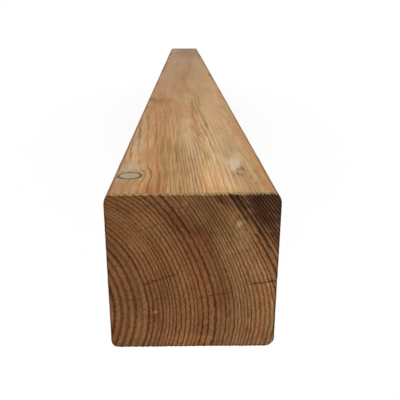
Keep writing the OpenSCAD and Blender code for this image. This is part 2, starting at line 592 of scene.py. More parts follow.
# How much of the finish map's height the four long faces take. The ends share the rest.
SIDES_SHARE = 0.68
MAP_GAP = 0.006


def finish_map(rim, along, grid):
    """Where the corners of every face lie on the finish map: the long faces first, then the ends."""
    steps = np.linalg.norm(np.diff(np.vstack([rim, rim[:1]]), axis=0), axis=1)
    girth = np.concatenate([[0], np.cumsum(steps)])
    u = np.repeat(along / LENGTH, len(girth))
    v = np.tile(girth / girth[-1] * SIDES_SHARE, len(along))
    rows = np.arange(len(u)).reshape(len(along), -1)
    sides = np.column_stack([u, v])[quads(rows)[:, ::-1]]

    box = 1 - SIDES_SHARE - 2 * MAP_GAP
    unit = (grid.reshape(-1, 2) - (LEFT, 0)) / (WIDTH, HEIGHT)
    foot = unit * box + (MAP_GAP, SIDES_SHARE + MAP_GAP)
    head = foot + (box + 2 * MAP_GAP, 0)
    cells = quads(np.arange(len(foot)).reshape(ACROSS + 1, -1))
    return np.vstack([sides, foot[cells], head[cells[:, ::-1]]])


class Blank(NamedTuple):
    """The square post before any relief: places in millimetres, along from the foot."""

    places: np.ndarray
    side_way: np.ndarray    # the way out of a long face, or zero inside an end
    end_way: np.ndarray     # -1 on the foot's end, 1 on the head's, 0 between
    faces: np.ndarray       # each face's vertex numbers: the long faces first, then the ends
    on_end: np.ndarray      # 1 for a face of an end, 0 for one of a long face
    spots: np.ndarray       # where each face's corners lie on the finish map


def make_blank(radii):
    """Lays out the places and faces of the post with its arrises eased."""
    rim, ways = outline(radii)
    along = stations()
    rows, count = len(along), len(rim)
    body = np.zeros((rows, count, 3))
    body[:, :, 0] = rim[:, 0]
    body[:, :, 1] = along[:, None]
    body[:, :, 2] = rim[:, 1]
    grid = end_grid(rim)
    inner = grid[1:-1, 1:-1].reshape(-1, 2)
    foot = np.column_stack([inner[:, 0], np.zeros(len(inner)), inner[:, 1]])
    head = foot + (0, LENGTH, 0)
    places = np.vstack([body.reshape(-1, 3), foot, head])

    last_row, first_foot = (rows - 1) * count, rows * count
    first_head = first_foot + len(inner)
    side_way = np.zeros((len(places), 3))
    side_way[:first_foot, 0] = np.tile(ways[:, 0], rows)
    side_way[:first_foot, 2] = np.tile(ways[:, 1], rows)
    end_way = np.zeros(len(places))
    end_way[:count] = end_way[first_foot:first_head] = -1
    end_way[last_row:first_foot] = end_way[first_head:] = 1

    numbers = np.arange(first_foot).reshape(rows, count)
    sides = quads(np.hstack([numbers, numbers[:, :1]]))[:, ::-1]
    ends = np.vstack([quads(end_numbers(0, first_foot)),
                      quads(end_numbers(last_row, first_head))[:, ::-1]])
    on_end = np.repeat((0, 1), (len(sides), len(ends)))
    return Blank(places, side_way, end_way, np.vstack([sides, ends]), on_end,
                 finish_map(rim, along, grid))


def edge_gap(places):
    """How far each place of an end lies in from the section's outline."""
    return np.min([RIGHT - np.abs(places[:, 0]), places[:, 2], HEIGHT - places[:, 2]], axis=0)


# Depths of the relief beside those of the timber's settings: the long faces' hollows, the groove round
# a branch and how far it stands out, an end's broad and fine saw waves, and the chips of its rim.
HOLLOWS, BARK_GROOVE, PROUD_KNOT = 0.10, 0.25, 0.06
BROAD_SAW, FINE_SAW, RIM_CHIPS = 0.18, 0.12, 0.55
# How far in from an end a long face is chipped, and how far in from its rim an end is chipped and
# bruised.
SIDE_CHIPPED, END_CHIPPED, END_BRUISED = 0.9, 0.7, 1.2
# How far from an end the long faces are nearly flat, below the upper face.
FLAT_END = 6.0
# How deep a check looks beside its width, on the end that it is in and on a long face.
CHECK_ON_END, CHECK_ON_SIDE = 2.2, 0.5
# No vertex sinks less than this, which keeps the wood inside the solid.
LEAST_SINK = 0.01


def relief(blank, wood, settings):
    """How far each vertex sinks: into its long face, and into its end."""
    places = blank.places
    soft = 1 - latewood(wood.ring)
    near_end = np.minimum(places[:, 1], LENGTH - places[:, 1])
    # The saw tears the upper edge of an end, and leaves what lies below it nearly whole.
    low = smooth_step(HEIGHT - 2, HEIGHT - 8, places[:, 2])
    side = settings.wear / MM * soft * (1 - 0.9 * low * np.exp(-near_end / FLAT_END))
    side += HOLLOWS * (1 + ripple(places, (22, 60, 22), 11)).clip(0)
    chips = (0.6 + 0.5 * ripple(places, (1.2, 5, 1.2), 12, 14)).clip(0, 1.5)
    chips *= 0.12 + 0.88 * smooth_step(HEIGHT - 5, HEIGHT - 2, places[:, 2])
    torn = settings.chipping / MM * np.exp(-near_end / SIDE_CHIPPED)
    side += torn * (0.33 + 0.55 * soft) * chips
    for knot in KNOTS:
        off = off_knot(places, knot)
        side += BARK_GROOVE * np.exp(-((off - 1.05) / 0.14) ** 2)
        side -= PROUD_KNOT * (off < 0.95)
    end = settings.saw_marks / MM * (0.25 + soft)
    end += BROAD_SAW * (1 + ripple(places, (16, 16, 30), 13)).clip(0)
    end += FINE_SAW * (1 + ripple(places, (1.6, 5, 5), 14)).clip(0)
    torn = RIM_CHIPS * np.exp(-edge_gap(places) / END_CHIPPED)
    end += torn * (0.5 + 0.8 * soft) * chips * (1 - 0.9 * low)
    wander = 0.3 * ripple(places, (3, 9, 3), 15)
    for check in CHECKS:
        aside, open_share = off_check(places, wood.ring, check)
        gap = np.exp(-((aside + wander) / (0.5 + check.width)) ** 2) * open_share
        own_end = blank.end_way == (1 if check.head else -1)
        end += own_end * CHECK_ON_END * check.width * gap
        side += CHECK_ON_SIDE * check.width * gap
    return side.clip(LEAST_SINK), end.clip(LEAST_SINK)


def write(mesh, name, kind, values):
    """Keeps one value, or one vector, for each vertex."""
    field = "value" if kind == "FLOAT" else "vector"
    mesh.attributes.new(name, kind, "POINT").data.foreach_set(
        field, np.asarray(values, np.float32).ravel())


# Faces that meet at more than this are shaded as an edge, in degrees.
SHARP_ANGLE = 50


def make_mesh(settings):
    """The post's mesh, with its relief, its finish map and what the wood is at each vertex."""
    radii = [settings.tight_arris / MM, settings.lower_arris / MM,
             settings.upper_arris / MM, settings.upper_arris / MM]
    blank = make_blank(radii)
    wood = grow(blank.places)
    side, end = relief(blank, wood, settings)
    shaped = blank.places - blank.side_way * side[:, None]
    shaped[:, 1] -= blank.end_way * end
    shaped = (shaped + (0, LOW.y, 0)) * MM
    mesh = bpy.data.meshes.new("fence_post")
    mesh.from_pydata(shaped.tolist(), [], blank.faces.tolist())
    mesh.polygons.foreach_set("use_smooth", np.ones(len(blank.faces), bool))
    mesh.polygons.foreach_set("material_index", blank.on_end.astype(np.int32))
    mesh.uv_layers.new(name="OFBake").data.foreach_set("uv", blank.spots.ravel().astype(np.float32))
    mesh.update()
    mesh.set_sharp_from_angle(angle=math.radians(SHARP_ANGLE))

    write(mesh, "ring", "FLOAT", wood.ring)
    write(mesh, "grain", "FLOAT_VECTOR",
          np.column_stack([wood.radius, blank.places[:, 1], wood.around]))
    for name, patches, seed in (("side", SIDE_PATCHES, 21), ("end", END_PATCHES, 22)):
        tint, clear = patched(blank.places, wood.radius, patches, seed)
        if name == "side":
            tint *= streaked(blank.places, STREAKS)
        write(mesh, name + "_tint", "FLOAT_VECTOR", tint)
        write(mesh, name + "_clear", "FLOAT", clear)
    # How far round an arris each vertex is, 1 half way: where the arrises' painted shade goes.
    write(mesh, "arris", "FLOAT", 2 * np.abs(blank.side_way[:, 0] * blank.side_way[:, 2]))
    write(mesh, "rim", "FLOAT", np.exp(-edge_gap(blank.places).clip(0) / END_BRUISED))
    return mesh


# --- Node trees -----------------------------------------------------------------------------------

def linear(*parts):
    """A colour for a shader, from red, green and blue as a paint chart gives them, 0 to 255."""
    values = [part / 255 for part in parts]
    return [v / 12.92 if v <= 0.04045 else ((v + 0.055) / 1.055) ** 2.4 for v in values]


class Graph:
    """Adds nodes to one node tree."""

    def __init__(self, tree):
        self.tree = tree

    def add(self, kind, inputs=None, **settings):
        """One node, with its settings, and each input named or numbered given a value or a link."""
        made = self.tree.nodes.new(kind)
        for name, value in settings.items():
            setattr(made, name, value)
        for key, value in (inputs or {}).items():
            self.feed(made.inputs[key], value)
        return made

    def feed(self, socket, value):
        """Gives an input its link or its value."""
        if isinstance(value, bpy.types.NodeSocket):
            self.tree.links.new(value, socket)
        else:
            socket.default_value = value

    def maths(self, operation, *values, clamp=False):
        made = self.add("ShaderNodeMath", dict(enumerate(values)), operation=operation, use_clamp=clamp)
        return made.outputs[0]

    def vectors(self, operation, *values):
        made = self.add("ShaderNodeVectorMath", dict(enumerate(values)), operation=operation)
        return made.outputs["Value" if operation in ("DOT_PRODUCT", "LENGTH") else "Vector"]

    def step(self, value, low, high, to_low=0.0, to_high=1.0):
        """An even curve from to_low, at low, to to_high, at high."""
        made = self.add("ShaderNodeMapRange",
                        {"Value": value, "From Min": low, "From Max": high,
                         "To Min": to_low, "To Max": to_high}, interpolation_type="SMOOTHSTEP")
        return made.outputs[0]

    def fall(self, value, low, high):
        """An even curve from 1, at low, to 0, at high."""
        return self.step(value, low, high, 1.0, 0.0)

    def mix(self, share, first, second, blend="MIX"):
        made = self.add("ShaderNodeMix", {0: share, 6: first, 7: second}, data_type="RGBA",
                        blend_type=blend)
        return made.outputs[2]

    def noise(self, where, detail=2.0, roughness=0.5, **inputs):
        made = self.add("ShaderNodeTexNoise", {"Vector": where, "Scale": 1.0, "Detail": detail,
                                               "Roughness": roughness, **inputs})
        return made.outputs[0]

    def part(self, vector, axis):
        """One of a vector's three parts, X, Y or Z."""
        return self.add("ShaderNodeSeparateXYZ", {0: vector}).outputs[axis]

    def attribute(self, name, output="Vector"):
        return self.add("ShaderNodeAttribute", attribute_name=name).outputs[output]

    def place(self):
        """Where the surface is: across, along and up in millimetres, along from the foot."""
        where = self.add("ShaderNodeTexCoord").outputs["Object"]
        return self.vectors("MULTIPLY_ADD", where, (1 / MM,) * 3, (0, -LOW.y, 0))

    def group(self, tree, **inputs):
        """An effect's node group, with its inputs given by name, spaces written as underscores."""
        made = self.add("ShaderNodeGroup", node_tree=tree)
        for name, value in inputs.items():
            self.feed(made.inputs[name.replace("_", " ").capitalize()], value)
        return made


def new_effect(name, inputs, outputs):
    """An empty node group: its graph, what it is given and what it puts out.

    Inputs are named with their defaults, a tuple for a vector and a number for a value."""
    tree = bpy.data.node_groups.new(name, "ShaderNodeTree")
    for label, default in inputs.items():
        kind = "NodeSocketVector" if isinstance(default, tuple) else "NodeSocketFloat"
        tree.interface.new_socket(label, in_out="INPUT", socket_type=kind).default_value = default
    for label in outputs:
        tree.interface.new_socket(label, in_out="OUTPUT", socket_type="NodeSocketFloat")
    graph = Graph(tree)
    return graph, graph.add("NodeGroupInput").outputs, graph.add("NodeGroupOutput").inputs


def rings_effect():
    """The hard dark band that ends each year's ring, a little different each year."""
    graph, given, out = new_effect(
        "growth_rings",
        {"Ring": 0.0, "Grain": (0, 0, 0), "Waver": 0.1, "Start": 0.3, "Weakest": 0.6},
        ("Latewood", "Year"))
    jitter = graph.noise(graph.vectors("MULTIPLY", given["Grain"], (0.3, 0.035, 0.3)), detail=3.0)
    off = graph.maths("MULTIPLY", graph.maths("SUBTRACT", jitter, 0.5), given["Waver"])
    ring = graph.maths("ADD", given["Ring"], off)
    year = graph.add("ShaderNodeTexWhiteNoise", {"W": graph.maths("FLOOR", ring)},
                     noise_dimensions="1D").outputs["Value"]
    part = graph.maths("FRACT", ring)
    starts = graph.maths("MULTIPLY_ADD", year, 0.22, given["Start"])
    swell = graph.step(part, starts, graph.maths("ADD", starts, 0.32))
    ends = graph.fall(part, 0.86, 1.0)
    strength = graph.step(year, 0.0, 0.6, given["Weakest"], 1.0)
    band = graph.maths("MULTIPLY", graph.maths("MULTIPLY", swell, ends), strength)
    graph.feed(out["Latewood"], band)
    graph.feed(out["Year"], year)
    return graph.tree


def fibre_effect():
    """Fine streaks, from 0 to 1, drawn out along one way of the grain."""
    graph, given, out = new_effect(
        "fibre",
        {"Grain": (0, 0, 0), "Per millimetre": (1, 1, 1), "Detail": 3.0, "Contrast": 1.0},
        ("Streak",))
    where = graph.vectors("MULTIPLY", given["Grain"], given["Per millimetre"])
    noise = graph.noise(where, detail=given["Detail"], roughness=0.6)
    spread = graph.maths("MULTIPLY", graph.maths("SUBTRACT", noise, 0.5), given["Contrast"])
    graph.feed(out["Streak"], graph.maths("ADD", spread, 0.5, clamp=True))
    return graph.tree


def knot_effect():
    """One branch: its wood, its dark bark line, the greyed wood round it and its own rings."""
    graph, given, out = new_effect(
        "branch_knot",
        {"Place": (0, 0, 0), "Leaves": (0, 0, 0), "Along": (0, 1, 0), "Aside": (1, 0, 0),
         "Down": (0, 0, 1), "Ragged": 0.0},
        ("Inside", "Bark", "Halo", "Rings"))
    rel = graph.vectors("SUBTRACT", given["Place"], given["Leaves"])
    total = 0.0
    for way in ("Along", "Aside", "Down"):
        gone = graph.maths("ABSOLUTE", graph.vectors("DOT_PRODUCT", rel, given[way]))
        total = graph.maths("ADD", graph.maths("POWER", gone, EYE), total)
    off = graph.maths("POWER", total, 1 / EYE)
    off = graph.maths("ADD", off, given["Ragged"])
    inside = graph.fall(off, 0.84, 0.98)
    gap = graph.maths("ABSOLUTE", graph.maths("SUBTRACT", off, 1.02))
    bark = graph.fall(gap, 0.04, 0.23)
    halo = graph.fall(off, 1.05, 2.0)
    rings = graph.maths("FRACT", graph.maths("MULTIPLY", off, 4.5))
    for label, value in (("Inside", inside), ("Bark", bark), ("Halo", halo), ("Rings", rings)):
        graph.feed(out[label], value)
    return graph.tree


def check_effect():
    """Where a drying crack's painted shade goes, between two points of the section: 1 where it is open.
    """
    graph, given, out = new_effect(
        "drying_check",
        {"Place": (0, 0, 0), "Waver": 0.0, "Start": (0, 0, 0), "Run": (1, 0, 0),
         "Aside": (0, 0, 1), "Length": 10.0, "Width": 0.3, "Depth": 10.0},
        ("Gap",))
    rel = graph.vectors("SUBTRACT", given["Place"], given["Start"])
    forward = graph.vectors("DOT_PRODUCT", rel, given["Run"])
    share = graph.maths("DIVIDE", forward, given["Length"])
    taper = graph.maths("MULTIPLY", graph.step(share, 0.0, 0.12), graph.fall(share, 0.8, 1.0))
    along = graph.part(rel, "Y")
    deep = graph.fall(graph.maths("DIVIDE", along, given["Depth"]), 0.3, 1.0)
    wide = graph.maths("MULTIPLY", given["Width"], graph.maths("MULTIPLY", taper, deep))
    side = graph.maths("ADD", graph.vectors("DOT_PRODUCT", rel, given["Aside"]), given["Waver"])
    edge = graph.maths("DIVIDE", graph.maths("ABSOLUTE", side), graph.maths("MAXIMUM", wide, 0.001))
    gap = graph.fall(edge, 0.4, 1.3)
    graph.feed(out["Gap"], graph.maths("MULTIPLY", gap, graph.step(wide, 0.0, 0.08)))
    return graph.tree


# --- Materials ------------------------------------------------------------------------------------

def make_effects():
    """The node groups that both of the wood's materials place."""
    return {"rings": rings_effect(), "fibre": fibre_effect(), "knot": knot_effect(),
            "check": check_effect()}


def new_material(name):
    """A material with only its output and its shader, and its graph."""
    material = bpy.data.materials.new(name)
    material.use_nodes = True
    material.node_tree.nodes.clear()
    graph = Graph(material.node_tree)
    shader = graph.add("ShaderNodeBsdfPrincipled")
    output = graph.add("ShaderNodeOutputMaterial")
    graph.feed(output.inputs["Surface"], shader.outputs[0])
    return material, graph, shader


def rgba(colour):
    return (*colour, 1.0)


def add_knots(graph, effects, colour, looks):
    """Draws every branch over the wood's colour."""
    place = graph.place()
    ragged = graph.noise(graph.vectors("MULTIPLY", place, (0.22, 0.22, 0.22)), detail=3.0)
    ragged = graph.maths("MULTIPLY_ADD", ragged, 0.14, -0.07)
    for knot in KNOTS:
        along, aside, down = knot_ways(knot)
        parts = graph.group(effects["knot"], place=place, leaves=knot.leaves, along=along,
                            aside=aside, down=down, ragged=ragged).outputs
        halo = graph.maths("MULTIPLY", parts["Halo"], 0.5)
        colour = graph.mix(halo, colour, rgba(looks.knot_halo))
        ringed = graph.mix(graph.step(parts["Rings"], 0.5, 0.95), rgba(looks.knot),
                           rgba(looks.knot_ring))
        colour = graph.mix(parts["Inside"], colour, ringed)
        colour = graph.mix(graph.maths("MULTIPLY", parts["Bark"], 0.9), colour, rgba(looks.bark))
    return colour


def add_checks(graph, effects, checks, colour, looks):
    """Paints the shade inside the drying checks over the wood's colour."""
    place = graph.place()
    from_head = graph.vectors("MULTIPLY_ADD", place, (1, -1, 1), (0, LENGTH, 0))
    wander = graph.noise(graph.vectors("MULTIPLY", place, (0.4, 0.05, 0.4)), detail=3.0)
    part = graph.maths("FRACT", graph.attribute("ring", "Fac"))
    waver = graph.maths("MULTIPLY_ADD", part, -CHECK_STEP, CHECK_STEP / 2 - 1.0)
    waver = graph.maths("MULTIPLY_ADD", wander, 2.0, waver)
    gaps = 0.0
    for check in checks:
        start = Vector((check.start[0], 0, check.start[1]))
        run = Vector((check.end[0], 0, check.end[1])) - start
        way = run.normalized()
        gap = graph.group(effects["check"], place=from_head if check.head else place, waver=waver,
                          start=start, run=way, aside=(-way.z, 0, way.x), length=run.length,
                          width=check.width, depth=check.depth).outputs["Gap"]
        gaps = graph.maths("MAXIMUM", gap, gaps)
    return graph.mix(graph.maths("MULTIPLY", gaps, 0.8), colour, rgba(looks.crack))


def tone(level):
    """A tint that darkens or lightens wood: its shadows are warmer than its lights."""
    return level, level ** 1.3, level ** 1.8, 1.0


def scaled(graph, colour, value, low, high):
    """The colour made darker or lighter: by low where the value is 0, by high where it is 1."""
    times = graph.mix(value, tone(low), tone(high))
    return graph.mix(1.0, colour, times, blend="MULTIPLY")


def tinted(graph, colour, share, tint):
    """The colour multiplied by the tint, as far as the share goes."""
    return graph.mix(share, colour, rgba(tint), blend="MULTIPLY")


def calmed(graph, value, share):
    """The value drawn in to 0.5 where the share is 0, and left alone where it is 1."""
    return graph.maths("MULTIPLY_ADD", graph.maths("SUBTRACT", value, 0.5), share, 0.5)


def sapwood(graph, grain):
    """1 in the sapwood and 0 in the heartwood, with an uneven line between them."""
    radius = graph.part(grain, "X")
    uneven = graph.noise(graph.vectors("MULTIPLY", grain, (0.05, 0.006, 0.05)), detail=2.0)
    line = graph.maths("MULTIPLY_ADD", graph.maths("SUBTRACT", uneven, 0.5), HEARTWOOD_WANDER, radius)
    return graph.step(line, HEARTWOOD - HEARTWOOD_EDGE, HEARTWOOD + HEARTWOOD_EDGE)


def ring_lines(graph, line, clear, early, late, evenness):
    """Soft and hard wood by turns. Where the rings aren't clear, the soft wood nears their mean."""
    even = graph.mix(evenness, early, late)
    early = graph.mix(graph.step(clear, 0.2, 1.0, 0.8, 0.0), early, even)
    return graph.mix(line, early, late)


def fibres(graph, effects, grain):
    """What draws streaks in a material, from how often they come each way and how strong they are."""
    def fibre(*per_millimetre, contrast, detail):
        return graph.group(effects["fibre"], grain=grain, per_millimetre=per_millimetre,
                           contrast=contrast, detail=detail).outputs[0]
    return fibre


def finish_wood(graph, shader, colour, rough, height, strength, depth):
    """Connects what a wood's material worked out. Depth is the small relief's, in metres."""
    graph.feed(shader.inputs["Base Color"], colour)
    graph.feed(shader.inputs["Roughness"], rough)
    bump = graph.add("ShaderNodeBump", {"Strength": strength, "Distance": depth, "Height": height})
    graph.feed(shader.inputs["Normal"], bump.outputs[0])
    shader.inputs["Specular IOR Level"].default_value = 0.2


def long_grain(effects, looks):
    """The four long faces: planed wood, with the rings drawn out into lines."""
    material, graph, shader = new_material("long_grain")
    place = graph.place()
    grain = graph.attribute("grain")
    ring = graph.attribute("ring", "Fac")
    clear = graph.attribute("side_clear", "Fac")
    fibre = fibres(graph, effects, grain)

    rings = graph.group(effects["rings"], ring=ring, grain=grain, waver=0.8, start=0.36,
                        weakest=0.42).outputs
    sap = sapwood(graph, grain)
    early = graph.mix(sap, rgba(looks.heart_early), rgba(looks.sap_early))
    late = graph.mix(sap, rgba(looks.heart_late), rgba(looks.sap_late))
    patchy = graph.step(fibre(0.05, 0.006, 0.05, contrast=2.0, detail=2.0), 0.1, 0.7, 0.55, 1.0)
    line = graph.maths("MULTIPLY", rings["Latewood"], graph.maths("MULTIPLY", clear, patchy))
    colour = ring_lines(graph, line, clear, early, late, 0.35)

    # Broad redder and greener streaks, and finer ones of light and dark, all calm where the rings fade.
    broad = fibre(0.13, 0.006, 0.13, contrast=2.6, detail=1.5)
    yearly = graph.maths("SUBTRACT", rings["Year"], 0.5)
    broad = graph.maths("MULTIPLY_ADD", yearly, 0.5, broad)
    lively = graph.step(clear, 0.1, 0.9, 0.18, 0.85)
    orange = graph.maths("MULTIPLY", graph.step(broad, 0.5, 0.95), lively)
    colour = tinted(graph, colour, orange, looks.orange_streak)
    olive = graph.maths("MULTIPLY", graph.fall(broad, 0.05, 0.5), lively)
    colour = tinted(graph, colour, olive, looks.olive_streak)
    drawn = calmed(graph, fibre(0.45, 0.013, 0.45, contrast=3.4, detail=1.5), lively)
    colour = scaled(graph, colour, drawn, 0.89, 1.12)
    streak = calmed(graph, fibre(1.1, 0.022, 1.1, contrast=2.6, detail=4.0), lively)
    colour = scaled(graph, colour, streak, 0.80, 1.22)
    dash = graph.step(fibre(1.5, 0.07, 1.5, contrast=2.2, detail=2.0), 0.72, 0.95, 0.0, 0.28)
    colour = graph.mix(graph.maths("MULTIPLY", dash, clear), colour, late)
    hair = calmed(graph, fibre(3.0, 0.12, 3.0, contrast=2.2, detail=2.0), lively)
    colour = scaled(graph, colour, hair, 0.88, 1.13)

    # Soft clouds where the rings fade, stains, painted shade on arrises and in checks, and the
    # branches.
    lean = graph.vectors("MULTIPLY", place, (0.022, 0.0022, 0.022))
    cloud = graph.noise(lean, detail=3.0, Distortion=0.8)
    cloud = graph.step(cloud, 0.35, 0.65)
    cloud = graph.mix(graph.step(clear, 0.2, 0.9, 1.0, 0.3), (0.5, 0.5, 0.5, 1), cloud)
    colour = scaled(graph, colour, cloud, 0.94, 1.06)
    colour = graph.mix(1.0, colour, graph.attribute("side_tint"), blend="MULTIPLY")
    # Painted shade along every arris, darkest half way round it.
    arris = graph.step(graph.attribute("arris", "Fac"), 0.5, 1.0, 0.0, 0.85)
    colour = tinted(graph, colour, arris, looks.painted_arris_shade)
    colour = add_knots(graph, effects, colour, looks)
    through = [check for check in CHECKS if check.end[0] > RIGHT]
    colour = add_checks(graph, effects, through, colour, looks)

    rough = graph.maths("MULTIPLY_ADD", rings["Latewood"], -0.12, 0.78)
    rough = graph.maths("MULTIPLY_ADD", streak, 0.10, rough)
    height = graph.maths("MULTIPLY_ADD", line, 0.5, graph.maths("MULTIPLY", streak, 0.5))
    height = graph.maths("MULTIPLY_ADD", hair, 0.25, height)
    finish_wood(graph, shader, colour, rough, height, 0.8, 0.0002)
    return material


def end_grain(effects, looks):
    """The two sawn ends: open pores that drank the preservative, and the rings cut across."""
    material, graph, shader = new_material("end_grain")
    place = graph.place()
    grain = graph.attribute("grain")
    ring = graph.attribute("ring", "Fac")
    clear = graph.attribute("end_clear", "Fac")
    fibre = fibres(graph, effects, grain)

    # The hard bands are a little broader near the pith.
    start = graph.step(graph.part(grain, "X"), 44.0, 76.0, 0.23, 0.27)
    rings = graph.group(effects["rings"], ring=ring, grain=grain, waver=0.6, start=start,
                        weakest=0.5).outputs
    sap = sapwood(graph, grain)
    early = graph.mix(sap, rgba(looks.end_heart), rgba(looks.end_sap))
    line = graph.maths("MULTIPLY", rings["Latewood"], clear)
    colour = ring_lines(graph, line, clear, early, rgba(looks.end_late), 0.4)

    # Paler and darker years, the saw's strokes, redder and greener wood, the rays and the pores.
    lean_years = fibre(0.10, 0.02, 0.02, contrast=2.4, detail=2.0)
    colour = scaled(graph, colour, lean_years, 0.78, 1.18)
    stroke = fibre(1.9, 0.05, 0.26, contrast=2.8, detail=4.0)
    colour = scaled(graph, colour, stroke, 0.62, 1.36)
    ruddy = fibre(0.09, 0.02, 0.07, contrast=2.6, detail=2.0)
    colour = tinted(graph, colour, graph.step(ruddy, 0.5, 1.0, 0.0, 0.85), looks.orange_streak)
    colour = tinted(graph, colour, graph.step(ruddy, 0.0, 0.5, 0.85, 0.0), looks.olive_streak)
    rays = fibre(0.12, 0.05, 1.8, contrast=2.0, detail=3.0)
    colour = scaled(graph, colour, rays, 0.86, 1.14)
    pores = fibre(1.7, 0.05, 1.5, contrast=2.8, detail=3.0)
    colour = scaled(graph, colour, pores, 0.70, 1.28)
    speck = graph.step(fibre(1.3, 0.05, 1.1, contrast=3.0, detail=1.0), 0.88, 1.0, 0.0, 0.30)
    colour = graph.mix(speck, colour, rgba(looks.end_speck))

    # The stains, the bruised rim, the torn edge under the upper face and the checks' painted shade.
    colour = graph.mix(1.0, colour, graph.attribute("end_tint"), blend="MULTIPLY")
    rim = graph.step(graph.attribute("rim", "Fac"), 0.2, 0.9, 0.0, 0.8)
    colour = tinted(graph, colour, rim, looks.bruised_rim)
    below = graph.maths("SUBTRACT", HEIGHT, graph.part(place, "Z"))
    torn = fibre(1.1, 0.05, 0.3, contrast=2.4, detail=2.0)
    below = graph.maths("MULTIPLY_ADD", line, 0.4, graph.maths("MULTIPLY_ADD", torn, 1.7, below))
    worn = graph.step(below, 1.95, 2.95, 0.85, 0.0)
    colour = graph.mix(worn, colour, rgba(looks.sap_early))
    colour = add_checks(graph, effects, CHECKS, colour, looks)

    rough = graph.maths("MULTIPLY_ADD", pores, 0.12, 0.80)
    height = graph.maths("MULTIPLY_ADD", line, 0.7, graph.maths("MULTIPLY", stroke, 0.6))
    height = graph.maths("MULTIPLY_ADD", pores, 0.5, height)
    finish_wood(graph, shader, colour, rough, height, 0.9, 0.0003)
    return material


# --- Settings -------------------------------------------------------------------------------------

def a_length(name, text, default):
    return bpy.props.FloatProperty(name=name, description=text, default=default, unit="LENGTH",
                                   precision=5)


def a_colour(name, text, *parts):
    return bpy.props.FloatVectorProperty(name=name, description=text, default=linear(*parts),
                                         subtype="COLOR", size=3, min=0.0, max=1.0)


class PostTimber(bpy.types.PropertyGroup):
    """Sizes of the post's wood."""

    upper_arris: a_length("Upper arrises", "Radius of the two upper arrises", 0.0065)
    lower_arris: a_length("Lower arris", "Radius of the lower arris on the +X side", 0.006)
    tight_arris: a_length("Tight arris", "Radius of the lower arris on the -X side", 0.0045)
    wear: a_length("Planed relief", "How far the soft wood lies below the hard on a long face", 0.00012)
    saw_marks: a_length("Sawn relief", "How far the soft wood lies below the hard on an end", 0.0003)
    chipping: a_length("Chipping", "How far the saw tore the soft wood at the edges of an end", 0.0010)


class PostColours(bpy.types.PropertyGroup):
    """Colours of the treated wood."""

    sap_early: a_colour("Sapwood", "Soft part of a sapwood ring, long grain", 199, 161, 115)
    sap_late: a_colour("Sapwood line", "Hard part of a sapwood ring, long grain", 142, 95, 50)
    heart_early: a_colour("Heartwood", "Soft part of a heartwood ring, long grain", 188, 146, 98)
    heart_late: a_colour("Heartwood line", "Hard part of a heartwood ring, long grain", 138, 89, 45)
    orange_streak: a_colour("Orange streak", "Tint of the redder streaks", 255, 236, 211)
    olive_streak: a_colour("Olive streak", "Tint of the greener streaks", 238, 248, 234)
    # Painted shade: a darker tint along the arrises, where they turn away from the light.
    painted_arris_shade: a_colour("Arris", "Tint along the worn arrises", 172, 168, 166)
    end_sap: a_colour("End sapwood", "Soft part of a sapwood ring, on an end", 149, 105, 64)
    end_heart: a_colour("End heartwood", "Soft part of a heartwood ring, on an end", 139, 92, 53)
    end_late: a_colour("End line", "Hard part of a ring, on an end", 81, 41, 0)
    bruised_rim: a_colour("Rim", "Tint of an end's bruised rim", 150, 140, 132)
    knot: a_colour("Knot", "A branch's wood", 176, 154, 122)
    knot_ring: a_colour("Knot ring", "The rings of a branch", 164, 142, 110)
    knot_halo: a_colour("Knot halo", "The greyed wood around a branch", 156, 134, 108)
    bark: a_colour("Bark line", "The dark line around a branch", 84, 66, 48)
    # Painted shade: the dark inside of a drying check.
    crack: a_colour("Crack", "Inside a drying check", 44, 26, 15)
    end_speck: a_colour("End speck", "Pale specks of crushed fibre on an end", 178, 138, 100)


class StageLook(bpy.types.PropertyGroup):
    """The floor, the light and the camera's lens."""

    floor: a_colour("Floor", "Colour of the floor", 250, 250, 250)
    sky_level: bpy.props.FloatProperty(name="Sky", description="Strength of the even light",
                                       default=0.62, min=0.0)
    lamp_level: bpy.props.FloatProperty(name="Lamp", description="Strength of the soft lamp",
                                        default=1.3, min=0.0)
    lens: bpy.props.FloatProperty(name="Lens", description="Focal length on a 36 mm wide sensor",
                                  default=46.03, min=1.0, unit="CAMERA")


# --- Operators ------------------------------------------------------------------------------------

class FENCEPOST_OT_make_post(bpy.types.Operator):
    """Make the post's wood and its two materials, in place of the plain solid"""

    bl_idname = "fencepost.make_post"
    bl_label = "Make the post"

    def execute(self, context):
        mesh = make_mesh(context.scene.post_timber)
        effects = make_effects()
        looks = context.scene.post_colours
        mesh.materials.append(long_grain(effects, looks))
        mesh.materials.append(end_grain(effects, looks))
        post = bpy.data.objects.new("fence_post", mesh)
        context.scene.collection.objects.link(post)
        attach(post, "root")
        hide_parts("post")
        return {"FINISHED"}


# The way the lamp shines, and how broad it is in degrees.
LAMP_WAY = (0.35, 0.45, -1.0)
LAMP_BREADTH = 35
# Half of the floor's side, in metres. Beside the post it begins to fade to white at the first of
# these distances and is white at the second. Along the post they are more than twice as long.
FLOOR_HALF = 8.0
FADE_FROM, FADE_TO, FADE_ALONG = 0.05, 0.40, 0.45
# How white the floor already is beside the post, where it keeps the shadow.
SHADOW_FLOOR = 0.72
# The camera's place, counted from the foot's end in millimetres, and how far it looks down, how far
# it turns to the right and how far it rolls, in degrees. The shift moves the view's centre aside.
CAMERA_PLACE = (-4.85, -268.54, 187.83)
CAMERA_ANGLES = (18.94, 0.48, -0.24)
CAMERA_SHIFT = 0.03


class FENCEPOST_OT_set_stage(bpy.types.Operator):
    """Lay the floor, light it softly and place the camera in front of the foot of the post"""

    bl_idname = "fencepost.set_stage"
    bl_label = "Set the stage"

    def execute(self, context):
        look = context.scene.stage_look
        context.scene.view_settings.view_transform = "Standard"
        light_world(context.scene, look)
        add_lamp(context.scene, look)
        lay_floor(context.scene, look)
        place_camera(context.scene, look)
        return {"FINISHED"}


